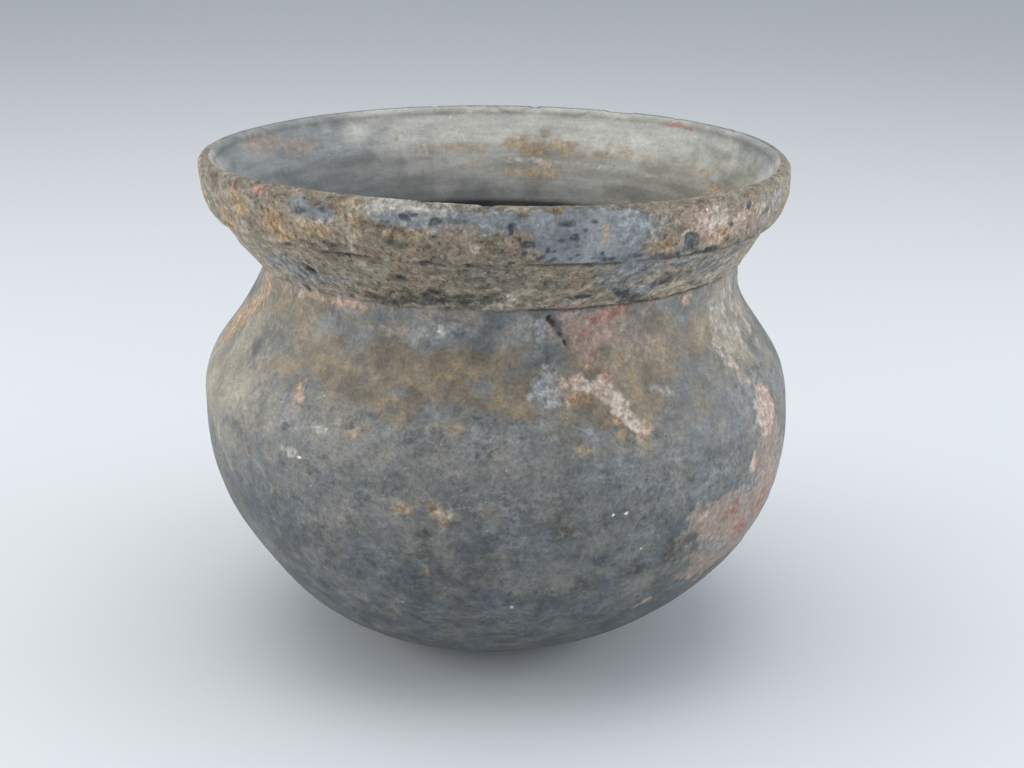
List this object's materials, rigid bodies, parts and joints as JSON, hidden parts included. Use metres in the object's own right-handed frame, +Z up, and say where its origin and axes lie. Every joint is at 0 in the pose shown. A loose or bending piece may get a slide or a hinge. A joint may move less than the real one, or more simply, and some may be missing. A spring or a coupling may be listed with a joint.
{
  "type": "earthenware urn",
  "caption": "Hand-built round-bodied earthenware urn with a short neck, a flaring collar and a thickened rim.",
  "frame": {"origin": "on the ground under the middle of the urn, at the centre of its box seen from above", "axes": "+Z up along the urn's axis to its mouth; +X to the right and +Y away, seen from the front in the picture"},
  "size_m": [0.1841, 0.184, 0.1564],
  "materials": {
    "burnished_clay": "satin",
    "crusted_clay": "matte"
  },
  "bodies": {
    "root": {"base_bowl": "burnished_clay", "shoulder_ring": "burnished_clay", "neck_collar": "crusted_clay", "rim_band": "crusted_clay"}
  },
  "joints": []
}
